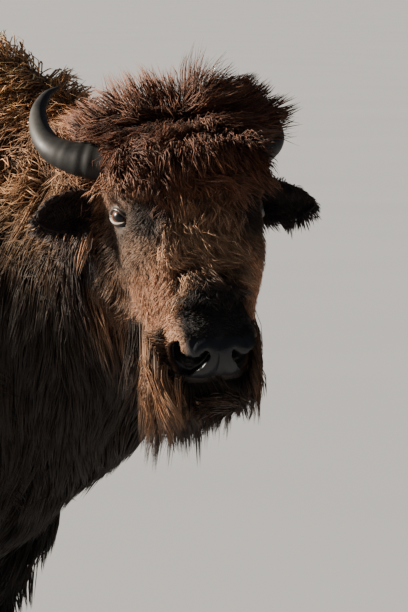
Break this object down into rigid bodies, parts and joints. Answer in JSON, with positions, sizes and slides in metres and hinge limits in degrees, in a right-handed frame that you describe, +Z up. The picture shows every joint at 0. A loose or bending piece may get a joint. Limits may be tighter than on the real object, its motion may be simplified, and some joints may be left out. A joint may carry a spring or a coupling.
{
  "type": "american bison",
  "caption": "Life-size bison standing with its shaggy, bearded head turned to its right, with curved horns, a high hump and a woolly cape.",
  "frame": {"origin": "on the floor, under the centre of the whole animal's bounding box", "axes": "+X forward along the trunk, from tail to chest; +Y to the animal's left; +Z up"},
  "size_m": [2.291, 0.7646, 1.6106],
  "materials": {
    "cape": "long curly golden-brown wool",
    "coat": "short dense brown fur",
    "mop": "long shaggy dark reddish-brown hair",
    "leg_coat": "dark brown fur, long above the knee",
    "muzzle": "short dark fur round bare, moist, finely pebbled skin",
    "horn": "grey-black horn with a soft sheen",
    "hoof": "dull dark hoof horn",
    "eye": "wet, glossy dark brown"
  },
  "bodies": {
    "root": {"crown": "mop", "face": "coat", "muzzle": "muzzle", "beard": "mop", "neck": "cape", "hump_and_shoulders": "cape", "barrel": "coat", "hindquarters": "coat", "tail": "coat", "tail_tuft": "mop", "fore_left_leg": "leg_coat", "fore_left_hoof": "hoof", "fore_right_leg": "leg_coat", "fore_right_hoof": "hoof", "hind_left_leg": "leg_coat", "hind_left_hoof": "hoof", "hind_right_leg": "leg_coat", "hind_right_hoof": "hoof", "left_horn": "horn", "left_ear": "mop", "left_eye": "eye", "right_horn": "horn", "right_ear": "mop", "right_eye": "eye"}
  },
  "joints": []
}
